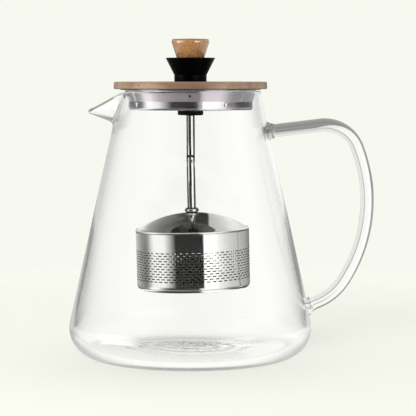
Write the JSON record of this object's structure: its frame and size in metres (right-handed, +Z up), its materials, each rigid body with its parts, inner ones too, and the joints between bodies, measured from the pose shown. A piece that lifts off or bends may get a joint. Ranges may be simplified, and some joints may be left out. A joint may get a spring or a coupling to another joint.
{
  "type": "glass teapot with infuser",
  "caption": "Conical clear glass teapot with a pulled spout and rod handle, a lift-off wooden lid, and a knobbed rod that slides through it to raise a jointed strainer.",
  "frame": {"origin": "centre of the flat base, on the surface that the pot stands on and on the pot's axis", "axes": "+Z up along the pot's axis, -X towards the spout, +X towards the handle"},
  "size_m": [0.1834, 0.1464, 0.1915],
  "materials": {
    "clear_glass": "clear blown borosilicate, fire polished",
    "handle_glass": "clear drawn glass rod",
    "lid_wood": "warm brown wood, satin oil, fine straight grain",
    "knob_wood": "warm brown turned wood, satin lacquer",
    "pan_steel": "pressed stainless steel, satin",
    "strainer_steel": "stainless steel, polished",
    "cup_steel": "perforated stainless steel, brushed",
    "rod_chrome": "polished",
    "pin_steel": "plain turned steel",
    "insert_brass": "plain machined brass",
    "black_plastic": "black moulded, satin",
    "silicone": "black food-grade silicone, matt"
  },
  "bodies": {
    "pot": {"glass_body": "clear_glass", "glass_handle": "handle_glass"},
    "lid": {"lid_disc": "lid_wood", "lid_pan": "pan_steel", "knob_socket": "black_plastic", "seal_washer": "silicone", "guide_nut": "black_plastic", "rod_seal": "silicone"},
    "plunger": {"wood_knob": "knob_wood", "knob_insert": "insert_brass", "upper_rod": "rod_chrome"},
    "infuser": {"lower_rod": "rod_chrome", "knuckle_pin": "pin_steel", "foot_collar": "rod_chrome", "foot_nut": "pin_steel", "strainer_lid": "strainer_steel", "plug_ring": "strainer_steel"},
    "cup": {"strainer_cup": "cup_steel"}
  },
  "joints": [
    {"name": "lid_lift", "type": "slide", "parent": "pot", "child": "lid", "axis": [0, 0, 1], "range_m": [0, 0.15]},
    {"name": "infuser_lift", "type": "slide", "parent": "lid", "child": "plunger", "axis": [0, 0, 1], "range_m": [0, 0.045]},
    {"name": "knuckle_swing", "type": "hinge", "parent": "plunger", "child": "infuser", "pos_m": [0, 0, 0.1182], "axis": [0, 1, 0], "range_deg": [-3.5, 6.5]},
    {"name": "cup_release", "type": "slide", "parent": "infuser", "child": "cup", "axis": [0.0262, 0, -0.9997], "range_m": [0, 0.02]}
  ]
}
